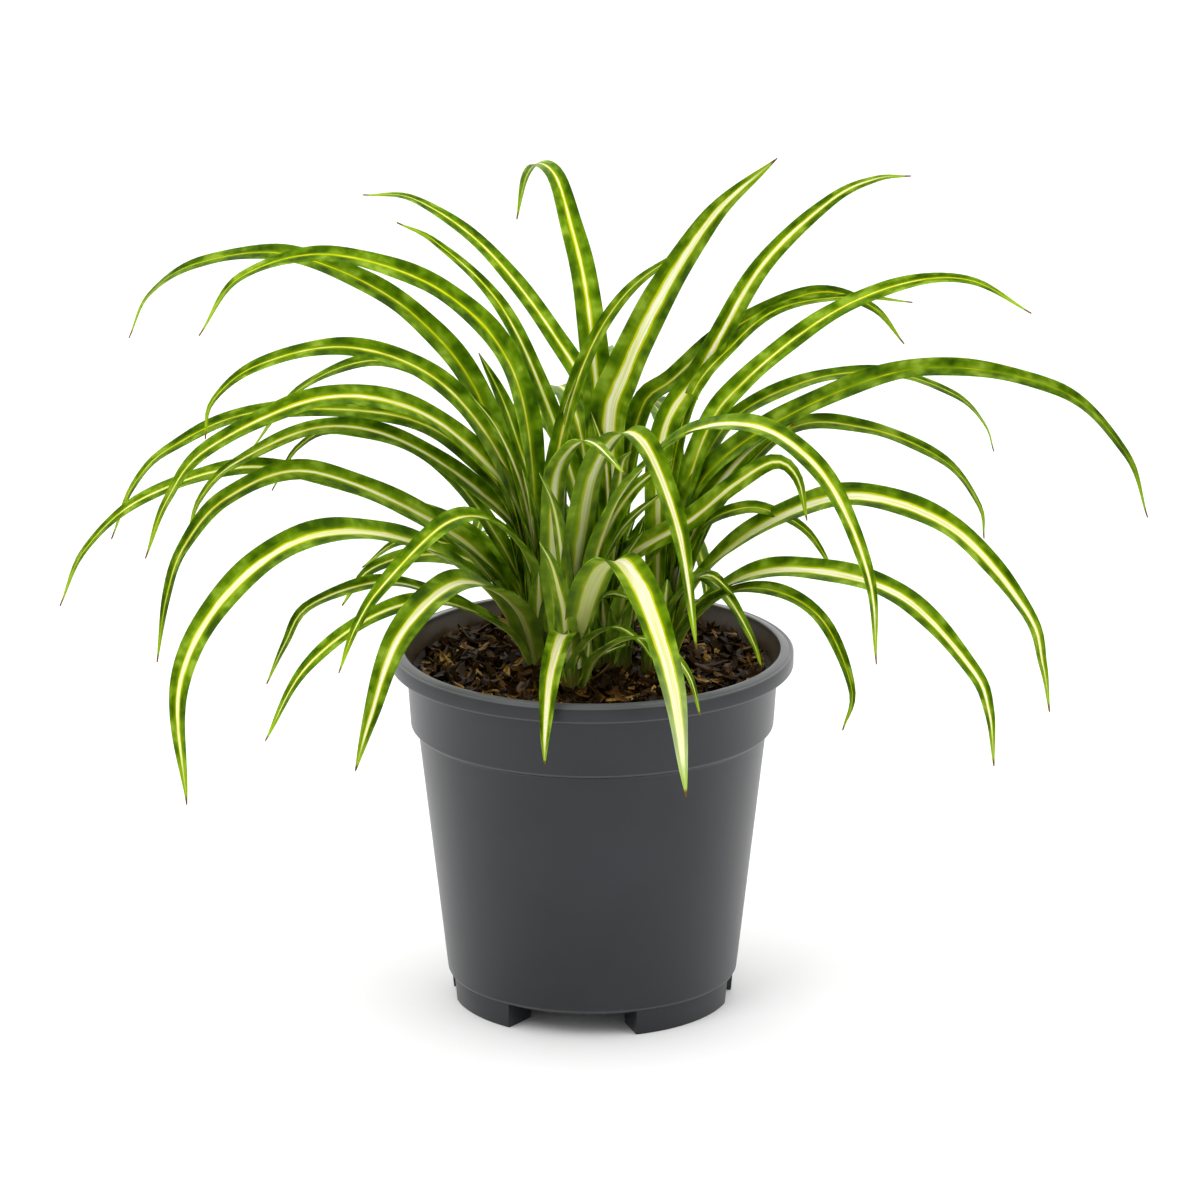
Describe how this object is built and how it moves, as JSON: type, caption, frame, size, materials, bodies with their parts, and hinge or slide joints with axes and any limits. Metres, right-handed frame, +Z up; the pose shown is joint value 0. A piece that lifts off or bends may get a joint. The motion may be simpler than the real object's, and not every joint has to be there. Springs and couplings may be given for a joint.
{
  "type": "potted spider plant",
  "caption": "Spider plant with long arching variegated strap leaves in rosettes, growing in bark mix in a round tapered nursery pot with a rim, a collar and notched feet.",
  "frame": {"origin": "on the surface that the pot stands on, under the middle of the whole plant's box, leaves included; the pot's axis is 3.5 mm to the left of it and 20 mm in front of it", "axes": "+Z up along the pot's axis, +X to the plant's right seen from its front, -Y towards its front"},
  "size_m": [0.4056, 0.2648, 0.3289],
  "materials": {
    "pot": "satin moulded dark grey plastic",
    "potting_mix": "rough, coarse dark bark chips, damp",
    "leaf": "satin, soft leaf skin, green with a cream stripe down the middle"
  },
  "bodies": {
    "root": {"pot": "pot", "potting_mix": "potting_mix", "rosette_left": "leaf", "rosette_front": "leaf", "rosette_centre": "leaf", "rosette_right": "leaf", "rosette_back": "leaf"}
  },
  "joints": []
}
